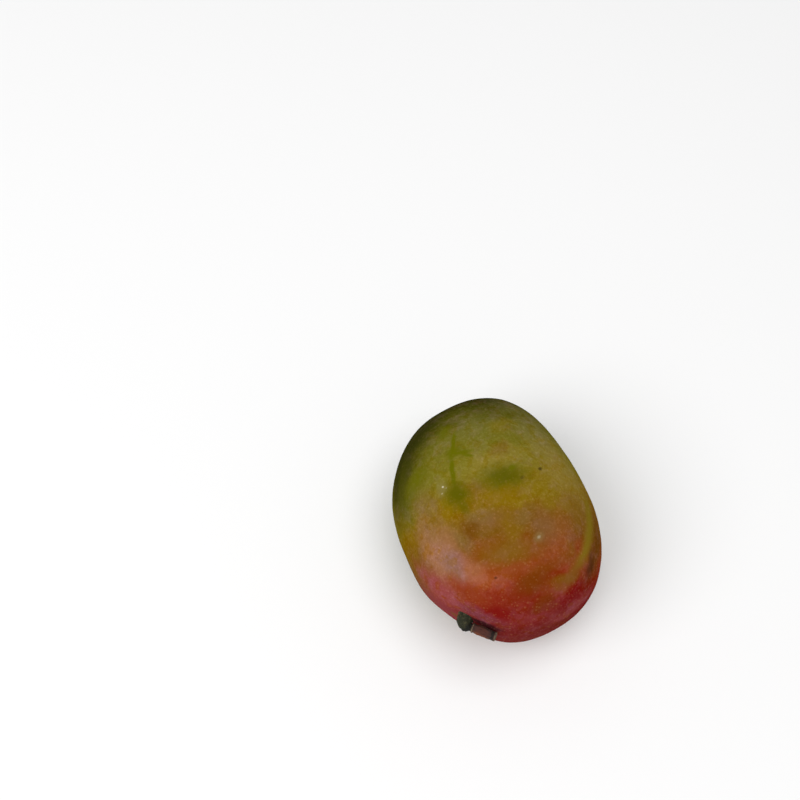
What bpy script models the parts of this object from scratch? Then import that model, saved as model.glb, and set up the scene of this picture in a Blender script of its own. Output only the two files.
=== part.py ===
"""A mango as picked, lying on its flatter cheek, with the woody stub of its stem.

Metres, +Z up. The fruit's long axis runs along Y, with its tip towards +Y, and the stem
leaves it on the shoulder that faces -X -Y. The origin is on the surface that the fruit
lies on, under the middle of its box. There are two pieces: the fruit, and the stem, whose
peg stands in a shallow socket in the fruit.
"""

import math
from dataclasses import dataclass

import bmesh
import bpy
import numpy as np
from mathutils import Matrix, Vector

MM = 0.001

# The fruit before its swells: half of each side, and how full its ovals are (2 is an ellipse)
HALF_WIDTH = 45.5 * MM
HALF_LENGTH = 59.8 * MM
HALF_THICKNESS = 42.0 * MM
OVAL_POWER = 2.15
FLAT_SPOT_DEPTH = 0.6 * MM
FRUIT_SUBDIVISIONS = 5


@dataclass(frozen=True)
class Swell:
    """A soft rise or dip of the skin, round one direction from the fruit's centre."""

    bearing: float  # degrees from +X, towards +Y
    elevation: float  # degrees above the level of the centre
    height: float  # metres that the skin moves out at its middle
    spread: float  # degrees over which it fades


SWELLS = {
    "stem_basin": Swell(230, 0, -2.5 * MM, 20),
    "back_shoulder": Swell(202, 0, 1.8 * MM, 22),
    "belly_shoulder": Swell(315, 0, -0.2 * MM, 28),
    "crown": Swell(62, 0, 4.8 * MM, 26),
    "belly": Swell(12, 0, -1.7 * MM, 26),
    "base": Swell(275, 0, -2.4 * MM, 22),
    "back": Swell(155, 0, 1.7 * MM, 24),
    "beak": Swell(58, -20, 1.3 * MM, 7),
}

# Where the stem stands on the skin, seen from the fruit's centre, in degrees
SEAT_BEARING = 229.2
SEAT_ELEVATION = 7.0

# The peg that holds the stem in the skin
PEG_RADIUS = 2.2 * MM
PEG_LENGTH = 3.2 * MM
PEG_CHAMFER = 0.3 * MM
SOCKET_CLEARANCE = 0.4 * MM

# The fat knuckle on the skin, which turns the stem over and narrows to a groove
KNUCKLE_LIFT = 0.5 * MM
KNUCKLE_RADIUS = 3.5 * MM
KNUCKLE_INNER_RADIUS = 0.55 * MM
KNUCKLE_RINGS = 9
GROOVE_RADIUS = 1.8 * MM

# The broken-off stub beyond the groove, with a rim at its start and a pith hole in its end
STUB_RADIUS = 2.0 * MM
STUB_LENGTH = 12.0 * MM
STUB_LEAN = 8.0  # degrees that it dips towards the skin
STUB_RISE = 5.0  # degrees that it climbs away from the surface below
RIM_RADIUS = 2.3 * MM
RIM_WIDTH = 0.6 * MM
RIM_SLOPE = 0.6 * MM
END_RADIUS = 2.15 * MM
END_FLARE = 1.4 * MM
END_CHAMFER = 0.3 * MM
PITH_RADIUS = 0.9 * MM
PITH_FLOOR_RADIUS = 0.6 * MM
PITH_DEPTH = 0.8 * MM
STEM_SIDES = 18


def direction(bearing: float, elevation: float) -> np.ndarray:
    """The unit vector at a bearing and an elevation, both in degrees."""
    turn, lift = math.radians(bearing), math.radians(elevation)
    flat = math.cos(lift)
    return np.array([flat * math.cos(turn), flat * math.sin(turn), math.sin(lift)])


def skin_radius(units: np.ndarray) -> np.ndarray:
    """How far the skin is from the fruit's centre along each unit vector."""
    halves = np.array([HALF_WIDTH, HALF_LENGTH, HALF_THICKNESS])
    radius = (np.abs(units / halves) ** OVAL_POWER).sum(axis=-1) ** (-1 / OVAL_POWER)
    for swell in SWELLS.values():
        cosine = units @ direction(swell.bearing, swell.elevation)
        fade = (cosine - 1) / (1 - math.cos(math.radians(swell.spread)))
        radius = radius + swell.height * np.exp(fade)
    return radius


def skin_point(bearing: float, elevation: float) -> Vector:
    """The point of the skin that lies in a direction from the fruit's centre."""
    unit = direction(bearing, elevation)
    return Vector(unit * skin_radius(unit))


def skin_frame(bearing: float, elevation: float) -> Matrix:
    """A frame on the skin: X runs level along it, Y runs up it, Z points out of it."""
    step = 0.5
    east = skin_point(bearing + step, elevation) - skin_point(bearing - step, elevation)
    north = skin_point(bearing, elevation + step) - skin_point(bearing, elevation - step)
    out = east.cross(north).normalized()
    level = Vector((0, 0, 1)).cross(out).normalized()
    frame = Matrix((level, out.cross(level), out)).transposed().to_4x4()
    frame.translation = skin_point(bearing, elevation)
    return frame


def plain_material(name: str, colour: tuple, roughness: float) -> bpy.types.Material:
    """A Principled material of one colour."""
    material = bpy.data.materials.new(name)
    material.use_nodes = True
    shader = material.node_tree.nodes["Principled BSDF"]
    shader.inputs["Base Color"].default_value = (*colour, 1)
    shader.inputs["Roughness"].default_value = roughness
    shader.inputs["Metallic"].default_value = 0
    return material


def piece(name: str, mesh: bmesh.types.BMesh, material: bpy.types.Material) -> bpy.types.Object:
    """Makes an object of a mesh, with its faces out and shaded smooth, and frees the mesh."""
    bmesh.ops.recalc_face_normals(mesh, faces=mesh.faces)
    data = bpy.data.meshes.new(name)
    mesh.to_mesh(data)
    mesh.free()
    data.shade_smooth()
    data.set_sharp_from_angle(angle=math.radians(50))
    data.materials.append(material)
    made = bpy.data.objects.new(name, data)
    bpy.context.scene.collection.objects.link(made)
    return made


def fruit_mesh() -> bmesh.types.BMesh:
    """The fruit round its own centre, with the flat spot that it rests on."""
    mesh = bmesh.new()
    bmesh.ops.create_icosphere(mesh, subdivisions=FRUIT_SUBDIVISIONS, radius=1)
    for vertex in mesh.verts:
        unit = np.array(vertex.co.normalized())
        vertex.co = Vector(unit * skin_radius(unit))
    lowest = min(vertex.co.z for vertex in mesh.verts)
    cut = bmesh.ops.bisect_plane(
        mesh,
        geom=mesh.verts[:] + mesh.edges[:] + mesh.faces[:],
        dist=0.01 * MM,
        plane_co=(0, 0, lowest + FLAT_SPOT_DEPTH),
        plane_no=(0, 0, 1),
        clear_inner=True,
    )
    rim = [item for item in cut["geom_cut"] if isinstance(item, bmesh.types.BMEdge)]
    bmesh.ops.contextual_create(mesh, geom=rim)
    return mesh


def resting_place(mesh: bmesh.types.BMesh) -> Vector:
    """The move that puts a mesh on the surface with its box centred over the origin."""
    points = np.array([vertex.co for vertex in mesh.verts])
    low, high = points.min(axis=0), points.max(axis=0)
    middle = (low + high) / 2
    return Vector((-middle[0], -middle[1], -low[2]))


class StemMesh:
    """The stem's skin, lofted ring by ring from the end of its peg to its pith hole.

    It is in the frame of its seat: X is along the skin, Y is up it and Z is out of it.
    """

    def __init__(self) -> None:
        self.mesh = bmesh.new()
        self.last_ring = []

    def ring(self, centre: Vector, across: Vector, up: Vector, radius: float) -> None:
        """Adds a round of points in the plane of two unit vectors, and skins up to it."""
        turns = [2 * math.pi * side / STEM_SIDES for side in range(STEM_SIDES)]
        places = [centre + (across * math.cos(turn) + up * math.sin(turn)) * radius for turn in turns]
        points = [self.mesh.verts.new(place) for place in places]
        if not self.last_ring:
            self.mesh.faces.new(points)
        for side in range(len(self.last_ring)):
            after = (side + 1) % STEM_SIDES
            corners = (self.last_ring[side], self.last_ring[after], points[after], points[side])
            self.mesh.faces.new(corners)
        self.last_ring = points

    def build(self) -> bmesh.types.BMesh:
        """The whole stem: its peg, its knuckle and its stub."""
        along, up, out = Vector((1, 0, 0)), Vector((0, 1, 0)), Vector((0, 0, 1))
        self.ring(out * -PEG_LENGTH, along, up, PEG_RADIUS - PEG_CHAMFER)
        self.ring(out * (PEG_CHAMFER - PEG_LENGTH), along, up, PEG_RADIUS)
        self.ring(out * KNUCKLE_LIFT, along, up, PEG_RADIUS)

        pivot = along * (KNUCKLE_RADIUS + KNUCKLE_INNER_RADIUS) + out * KNUCKLE_LIFT
        whole_turn = math.radians(90 + STUB_LEAN)
        for step in range(KNUCKLE_RINGS):
            share = step / (KNUCKLE_RINGS - 1)
            radius = KNUCKLE_RADIUS + (GROOVE_RADIUS - KNUCKLE_RADIUS) * share**2
            turn = share * whole_turn
            inward = along * math.cos(turn) - out * math.sin(turn)
            centre = pivot - inward * (radius + KNUCKLE_INNER_RADIUS)
            self.ring(centre, inward, up, radius)

        climb = math.radians(STUB_RISE)
        level = along * math.sin(whole_turn) + out * math.cos(whole_turn)
        heading = level * math.cos(climb) + up * math.sin(climb)
        side_up = up * math.cos(climb) - level * math.sin(climb)
        stations = (
            (RIM_SLOPE, RIM_RADIUS),
            (RIM_SLOPE + RIM_WIDTH, RIM_RADIUS),
            (RIM_SLOPE * 2 + RIM_WIDTH, STUB_RADIUS),
            (STUB_LENGTH / 2, STUB_RADIUS),
            (STUB_LENGTH - END_CHAMFER - END_FLARE, STUB_RADIUS),
            (STUB_LENGTH - END_CHAMFER, END_RADIUS),
            (STUB_LENGTH, END_RADIUS - END_CHAMFER),
            (STUB_LENGTH, PITH_RADIUS),
            (STUB_LENGTH - PITH_DEPTH, PITH_FLOOR_RADIUS),
        )
        for distance, radius in stations:
            self.ring(centre + heading * distance, inward, side_up, radius)
        self.mesh.faces.new(self.last_ring)
        return self.mesh


def cut_socket(fruit: bpy.types.Object, seat: Matrix) -> None:
    """Cuts the shallow hole in the fruit that the stem's peg stands in."""
    depth = PEG_LENGTH + SOCKET_CLEARANCE
    height_above_skin = 3 * MM
    drill = bmesh.new()
    bmesh.ops.create_cone(
        drill,
        cap_ends=True,
        segments=STEM_SIDES,
        radius1=PEG_RADIUS + SOCKET_CLEARANCE,
        radius2=PEG_RADIUS + SOCKET_CLEARANCE,
        depth=depth + height_above_skin,
    )
    drill.transform(seat @ Matrix.Translation((0, 0, (height_above_skin - depth) / 2)))
    cutter = piece("socket_cutter", drill, fruit.data.materials[0])
    cutter.parent = fruit
    cutter.hide_render = True
    cutter.display_type = "WIRE"
    socket = fruit.modifiers.new("stem socket", "BOOLEAN")
    socket.operation = "DIFFERENCE"
    socket.object = cutter


def main() -> None:
    """Clears the scene, and builds the fruit on its flat spot and the stem on its seat."""
    for thing in list(bpy.data.objects):
        bpy.data.objects.remove(thing)
    skin = plain_material("mango_skin", (0.27, 0.16, 0.035), 0.45)
    wood = plain_material("stem_wood", (0.07, 0.05, 0.03), 0.8)

    body = fruit_mesh()
    place = resting_place(body)
    fruit = piece("fruit", body, skin)
    fruit.location = place

    seat = skin_frame(SEAT_BEARING, SEAT_ELEVATION)
    cut_socket(fruit, seat)
    stem_body = StemMesh().build()
    stem_body.transform(seat)
    stem = piece("stem", stem_body, wood)
    stem.parent = fruit


main()
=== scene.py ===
"""The looks of a mango lying on its flatter cheek, with the woody stub of its stem.

Metres, +Z up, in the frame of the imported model. Two pieces stand for its two solids: the
fruit, whose body follows one rule, and the stem, lofted along its bend.
"""

import logging
import math
from collections.abc import Callable
from dataclasses import dataclass
from enum import Enum
from functools import reduce

import bmesh
import bpy
import numpy as np
from mathutils import Matrix, Vector, noise

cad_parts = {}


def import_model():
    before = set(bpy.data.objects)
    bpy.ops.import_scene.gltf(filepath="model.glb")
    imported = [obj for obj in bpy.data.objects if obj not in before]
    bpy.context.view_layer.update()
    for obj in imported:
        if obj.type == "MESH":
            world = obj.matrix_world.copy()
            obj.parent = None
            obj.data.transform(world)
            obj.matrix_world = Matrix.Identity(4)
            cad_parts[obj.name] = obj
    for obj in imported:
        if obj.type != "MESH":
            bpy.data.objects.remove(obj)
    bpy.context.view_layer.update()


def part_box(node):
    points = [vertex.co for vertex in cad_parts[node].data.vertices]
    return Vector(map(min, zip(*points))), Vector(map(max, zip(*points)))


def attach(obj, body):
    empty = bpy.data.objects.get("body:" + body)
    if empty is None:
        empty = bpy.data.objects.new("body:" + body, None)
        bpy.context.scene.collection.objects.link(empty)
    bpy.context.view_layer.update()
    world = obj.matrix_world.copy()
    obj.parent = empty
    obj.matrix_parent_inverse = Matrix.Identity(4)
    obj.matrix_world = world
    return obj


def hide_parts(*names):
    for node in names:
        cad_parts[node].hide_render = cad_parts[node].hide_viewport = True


LOG = logging.getLogger("mango")
MM = 0.001
BARK_MAP = "bark"  # the stem's UV map: round it, and along it
Colour = tuple[float, float, float]
Place = tuple[float, float, float]


def node_method(operation: str, reflected: bool = False) -> Callable[..., "Wire"]:
    """Makes the method of Wire that adds a node for one operation.

    Args:
        operation: the operation, by the name that Math and Vector Math know it by.
        reflected: whether the other operand comes first, as in 1 - mask.

    Returns:
        The method.
    """

    def method(wire: "Wire", *others: "Wire | float | Colour") -> "Wire":
        """Works the operation out with a node."""
        operands = (*others, wire) if reflected else (wire, *others)
        return wire.tree.maths(operation, *operands)

    return method


class Wire:
    """A node's socket that Python's operators work on: numbers by Math, vectors by Vector Math."""

    def __init__(self, tree: "Tree", socket: bpy.types.NodeSocket) -> None:
        """Keeps the socket and the tree that it is in."""
        self.tree = tree
        self.socket = socket

    __add__ = node_method("ADD")
    __radd__ = node_method("ADD", reflected=True)
    __sub__ = node_method("SUBTRACT")
    __rsub__ = node_method("SUBTRACT", reflected=True)
    __mul__ = node_method("MULTIPLY")
    __rmul__ = node_method("MULTIPLY", reflected=True)
    __truediv__ = node_method("DIVIDE")
    __rtruediv__ = node_method("DIVIDE", reflected=True)
    __pow__ = node_method("POWER")
    __abs__ = node_method("ABSOLUTE")
    exp = node_method("EXPONENT")
    cosine = node_method("COSINE")
    at_least = node_method("MAXIMUM")
    dot = node_method("DOT_PRODUCT")
    unit = node_method("NORMALIZE")
    length = node_method("LENGTH")

    def part(self, axis: str) -> "Wire":
        """One of a vector's three parts, X, Y or Z."""
        split = self.tree.node("ShaderNodeSeparateXYZ", sockets={"Vector": self})
        return Wire(self.tree, split.outputs[axis])

    def ease(self, start: float, end: float) -> "Wire":
        """A smooth step from 0 at start to 1 at end, which may be the lower of the two.

        Args:
            start: the value that gives 0.
            end: the value that gives 1.

        Returns:
            The step, from 0 to 1.
        """
        step = self.tree.node(
            "ShaderNodeMapRange",
            {"interpolation_type": "SMOOTHSTEP"},
            {"Value": self, "From Min": start, "From Max": end},
        )
        return Wire(self.tree, step.outputs["Result"])


@dataclass(frozen=True)
class Grain:
    """A soft noise: how coarse it is, and the finer layers that go on it."""

    size: float  # how far apart its lumps are, in the unit of the place
    detail: float = 2.0  # how many finer layers it has
    roughness: float = 0.5  # how strong they are


class Tree:
    """Adds nodes to one node tree, of a material or of a modifier."""

    SCALAR_RESULTS = ("DOT_PRODUCT", "LENGTH")
    VECTOR_ONLY = (*SCALAR_RESULTS, "NORMALIZE")

    def __init__(self, tree: bpy.types.NodeTree) -> None:
        """Keeps the tree."""
        self.tree = tree

    def node(
        self, kind: str, settings: dict | None = None, sockets: dict | None = None
    ) -> bpy.types.Node:
        """Adds a node, gives it its settings, and then its sockets their values or links.

        Args:
            kind: the node's type.
            settings: its own properties. "stops" gives a colour ramp's stops.
            sockets: a value or a wire for each input, by the input's name or number.

        Returns:
            The new node.
        """
        made = self.tree.nodes.new(kind)
        for name, value in (settings or {}).items():
            if name == "stops":
                self._set_stops(made.color_ramp, value)
            else:
                setattr(made, name, value)
        for name, value in (sockets or {}).items():
            if isinstance(value, Wire):
                self.tree.links.new(value.socket, made.inputs[name])
            else:
                made.inputs[name].default_value = value
        return made

    @staticmethod
    def _set_stops(ramp: bpy.types.ColorRamp, stops: list[tuple[float, Colour]]) -> None:
        """Gives a colour ramp its stops, from its start to its end."""
        ramp.interpolation = "CARDINAL"
        while len(ramp.elements) < len(stops):
            ramp.elements.new(1.0)
        for element, (place, colour) in zip(ramp.elements, stops):
            element.position = place
            element.color = (*colour, 1.0)

    def wire(
        self, kind: str, output: str, settings: dict | None = None, sockets: dict | None = None
    ) -> Wire:
        """Adds a node as node() does, and gives one of its outputs as a wire."""
        return Wire(self, self.node(kind, settings, sockets).outputs[output])

    def maths(self, operation: str, *operands: Wire | float | Colour) -> Wire:
        """Adds a Math node, or a Vector Math node where an operand is a vector.

        Args:
            operation: the operation, by the name that both nodes know.
            operands: wires, numbers or vectors.

        Returns:
            The result.
        """
        vectors = any(self._is_vector(each) for each in operands)
        on_vectors = vectors or operation in self.VECTOR_ONLY
        kind = "ShaderNodeVectorMath" if on_vectors else "ShaderNodeMath"
        made = self.node(kind, {"operation": operation})
        for place, value in enumerate(operands):
            if isinstance(value, Wire):
                self.tree.links.new(value.socket, made.inputs[place])
            elif on_vectors and not isinstance(value, tuple):
                made.inputs[place].default_value = (value, value, value)
            else:
                made.inputs[place].default_value = value
        scalar = not on_vectors or operation in self.SCALAR_RESULTS
        return Wire(self, made.outputs["Value" if scalar else "Vector"])

    @staticmethod
    def _is_vector(value: Wire | float | Colour) -> bool:
        """Whether an operand holds three numbers."""
        if isinstance(value, Wire):
            return value.socket.type in ("VECTOR", "RGBA")
        return isinstance(value, tuple)

    def vector(self, x: Wire | float, y: Wire | float, z: Wire | float) -> Wire:
        """A vector of three parts."""
        return self.wire("ShaderNodeCombineXYZ", "Vector", sockets={"X": x, "Y": y, "Z": z})

    def noise(self, place: Wire, grain: Grain, output: str = "Fac") -> Wire:
        """Soft noise from 0 to 1, about 0.5 in the middle.

        Args:
            place: where it is read.
            grain: how coarse it is.
            output: "Fac" for one number, or "Color" for three that don't share their pattern.

        Returns:
            The noise.
        """
        sockets = {
            "Vector": place,
            "Scale": 1 / grain.size,
            "Detail": grain.detail,
            "Roughness": grain.roughness,
        }
        return self.wire("ShaderNodeTexNoise", output, {"noise_dimensions": "3D"}, sockets)

    def drift(self, place: Wire, grain: Grain, reach: float) -> Wire:
        """A place moved about by noise, for edges that aren't drawn with a ruler.

        Args:
            place: the place that is moved.
            grain: the noise that moves it.
            reach: how far the place moves at most, to each side.

        Returns:
            The moved place.
        """
        return place + (self.noise(place, grain, "Color") - 0.5) * (2 * reach)


class MaterialTree(Tree):
    """The node tree of a new material with one Principled shader."""

    MIX_FACTOR, MIX_FIRST, MIX_SECOND, MIX_RESULT = 0, 6, 7, 2

    def __init__(self, name: str) -> None:
        """Makes the material and its shader."""
        self.material = bpy.data.materials.new(name)
        self.material.use_nodes = True
        super().__init__(self.material.node_tree)
        self.shader = self.tree.nodes["Principled BSDF"]

    def set(self, **sockets: Wire | float | Colour) -> None:
        """Sets the shader's inputs, with an underscore in a name for each space."""
        for name, value in sockets.items():
            socket = self.shader.inputs[name.replace("_", " ")]
            if isinstance(value, Wire):
                self.tree.links.new(value.socket, socket)
            elif isinstance(value, tuple):
                socket.default_value = (*value, 1.0)
            else:
                socket.default_value = value

    def place(self) -> Wire:
        """The place on the piece, in metres."""
        return self.wire("ShaderNodeTexCoord", "Object")

    def mix(
        self, factor: Wire | float, first: Wire | Colour, second: Wire | Colour, blend: str = "MIX"
    ) -> Wire:
        """Mixes two colours.

        Args:
            factor: 0 gives the first colour, and 1 gives the second.
            first: the colour underneath.
            second: the colour on top.
            blend: how the second goes on the first.

        Returns:
            The mixed colour.
        """
        settings = {"data_type": "RGBA", "blend_type": blend, "clamp_factor": True}
        colours = {
            place: colour if isinstance(colour, Wire) else (*colour, 1.0)
            for place, colour in ((self.MIX_FIRST, first), (self.MIX_SECOND, second))
        }
        made = self.node("ShaderNodeMix", settings, {self.MIX_FACTOR: factor, **colours})
        return Wire(self, made.outputs[self.MIX_RESULT])

    def stain(self, colour: Wire, tint: Colour, glow: Colour) -> Wire:
        """A colour multiplied by one tint, with another added to it."""
        return self.mix(1.0, self.mix(1.0, colour, tint, "MULTIPLY"), glow, "ADD")

    def along(self, place: Wire, heading: Place) -> Wire:
        """The part of a place that lies along a heading, as a vector."""
        return self.vector(*(place.dot(heading) * part for part in heading))

    def bump(self, height: Wire, depth: float, under: Wire | None = None) -> Wire:
        """The normal of a surface whose height changes.

        Args:
            height: the height, from 0 to 1.
            depth: what a height of 1 is worth, in metres.
            under: the normal that it goes on, where there is one.

        Returns:
            The new normal.
        """
        sockets = {"Height": height, "Distance": depth}
        if under is not None:
            sockets["Normal"] = under
        return self.wire("ShaderNodeBump", "Normal", sockets=sockets)


class FormTree(Tree):
    """A Geometry Nodes tree whose named inputs are set on the modifier that runs it."""

    SOCKETS = {float: "NodeSocketFloat", int: "NodeSocketInt", tuple: "NodeSocketVector"}

    def __init__(self, name: str) -> None:
        """Makes an empty tree with a geometry output."""
        super().__init__(bpy.data.node_groups.new(name, "GeometryNodeTree"))
        self.tree.is_modifier = True
        self.tree.interface.new_socket(
            "Geometry", in_out="OUTPUT", socket_type="NodeSocketGeometry"
        )
        self.values = {}
        self.entry = None

    def declare(self, inputs: dict) -> dict[str, Wire]:
        """Declares all the tree's inputs and gives their wires.

        Args:
            inputs: each input's name and the value that the modifier gives it.

        Returns:
            A wire for each input, by its name.
        """
        for name, value in inputs.items():
            kind = self.SOCKETS.get(type(value), "NodeSocketMaterial")
            socket = self.tree.interface.new_socket(name, in_out="INPUT", socket_type=kind)
            self.values[socket.identifier] = value
        self.entry = self.tree.nodes.new("NodeGroupInput")
        return {name: Wire(self, self.entry.outputs[name]) for name in inputs}

    def finish(self, geometry: Wire, material: Wire) -> None:
        """Ends the tree: instances made real, shaded smooth, with their material."""
        stages = (
            ("GeometryNodeRealizeInstances", {}),
            ("GeometryNodeSetShadeSmooth", {}),
            ("GeometryNodeSetMaterial", {"Material": material}),
        )
        for kind, sockets in stages:
            geometry = self.wire(kind, "Geometry", sockets={"Geometry": geometry, **sockets})
        self.node("NodeGroupOutput", sockets={"Geometry": geometry})

    def build(self, name: str) -> bpy.types.Object:
        """Runs the tree once and keeps its result as a plain mesh.

        Args:
            name: the new object's name.

        Returns:
            The object, with no modifier left on it.
        """
        made = add_object(name, bpy.data.meshes.new(name + "_host"))
        modifier = made.modifiers.new(self.tree.name, "NODES")
        modifier.node_group = self.tree
        for identifier, value in self.values.items():
            modifier[identifier] = value
        state = bpy.context.evaluated_depsgraph_get()
        result = bpy.data.meshes.new_from_object(made.evaluated_get(state))
        made.modifiers.remove(modifier)
        made.data = result
        result.name = name
        return made


def add_object(name: str, data: bpy.types.ID) -> bpy.types.Object:
    """Adds an object to the scene, at the origin."""
    made = bpy.data.objects.new(name, data)
    bpy.context.scene.collection.objects.link(made)
    return made


def add_mesh(
    name: str, mesh: bmesh.types.BMesh, material: bpy.types.Material
) -> bpy.types.Object:
    """Adds an object of a finished mesh that wears one material."""
    data = bpy.data.meshes.new(name)
    mesh.to_mesh(data)
    mesh.free()
    data.materials.append(material)
    return add_object(name, data)


class Side(Enum):
    """Which half of the mango a mark is on."""

    TOP = 1
    UNDER = -1


class Tint(Enum):
    """The colours of the mango's skin, in linear light."""

    # The darkest green; the far shoulder's marks also lay it on as painted shade.
    SHADE = (0.030, 0.031, 0.003)
    LEAF = (0.074, 0.071, 0.004)
    OLIVE = (0.120, 0.110, 0.008)
    MOSS = (0.158, 0.138, 0.012)
    LIME = (0.190, 0.150, 0.012)
    RUBBED = (0.118, 0.118, 0.001)
    SPOT = (0.092, 0.086, 0.001)
    STRAW = (0.282, 0.196, 0.040)
    HONEY = (0.218, 0.152, 0.010)
    GOLD = (0.205, 0.120, 0.002)
    UMBER = (0.165, 0.080, 0.010)
    AMBER = (0.190, 0.088, 0.007)
    TAN = (0.190, 0.112, 0.028)
    TAUPE = (0.212, 0.102, 0.048)
    COPPER = (0.208, 0.078, 0.012)
    RUST = (0.135, 0.050, 0.004)
    RUSSET = (0.172, 0.033, 0.002)
    EMBER = (0.205, 0.058, 0.004)
    ORANGE = (0.192, 0.068, 0.007)
    CORAL = (0.330, 0.080, 0.032)
    SCARLET = (0.245, 0.036, 0.010)
    CRIMSON = (0.195, 0.008, 0.005)
    WINE = (0.175, 0.020, 0.018)
    PINK = (0.290, 0.058, 0.056)
    PLUM = (0.205, 0.040, 0.052)
    ROSE = (0.235, 0.045, 0.058)
    SALMON = (0.345, 0.150, 0.078)
    VIOLET = (0.235, 0.120, 0.095)
    # Painted contact shadow, with some stain, for the skin beside the stub.
    BRUISE = (0.042, 0.009, 0.012)
    SCAB = (0.062, 0.018, 0.006)
    CORK = (0.045, 0.028, 0.004)
    BLOOM = (0.240, 0.205, 0.085)
    # Pale colour for painted glints on tiny waxy specks.
    WAX = (0.620, 0.560, 0.400)


@dataclass(frozen=True)
class Mark:
    """A soft-edged patch of the skin, placed as it is seen from above."""

    tint: Tint
    x: float  # millimetres from the fruit's centre
    y: float
    length: float  # millimetres along its heading
    width: float
    heading: float  # degrees from +X, towards +Y
    strength: float  # the share of its colour in its middle
    softness: float = 0.8  # how far its edge fades, as a share of its size
    side: Side = Side.TOP


@dataclass(frozen=True)
class Swell:
    """A soft rise or dip of the skin, round one direction from the fruit's centre."""

    name: str
    bearing: float  # degrees from +X, towards +Y
    elevation: float  # degrees above the level of the centre
    height: float  # metres that the skin moves out at its middle
    spread: float  # degrees over which it fades


def direction(bearing: float, elevation: float) -> np.ndarray:
    """The unit vector at a bearing and an elevation, both in degrees."""
    turn, lift = math.radians(bearing), math.radians(elevation)
    flat = math.cos(lift)
    return np.array([flat * math.cos(turn), flat * math.sin(turn), math.sin(lift)])


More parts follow.
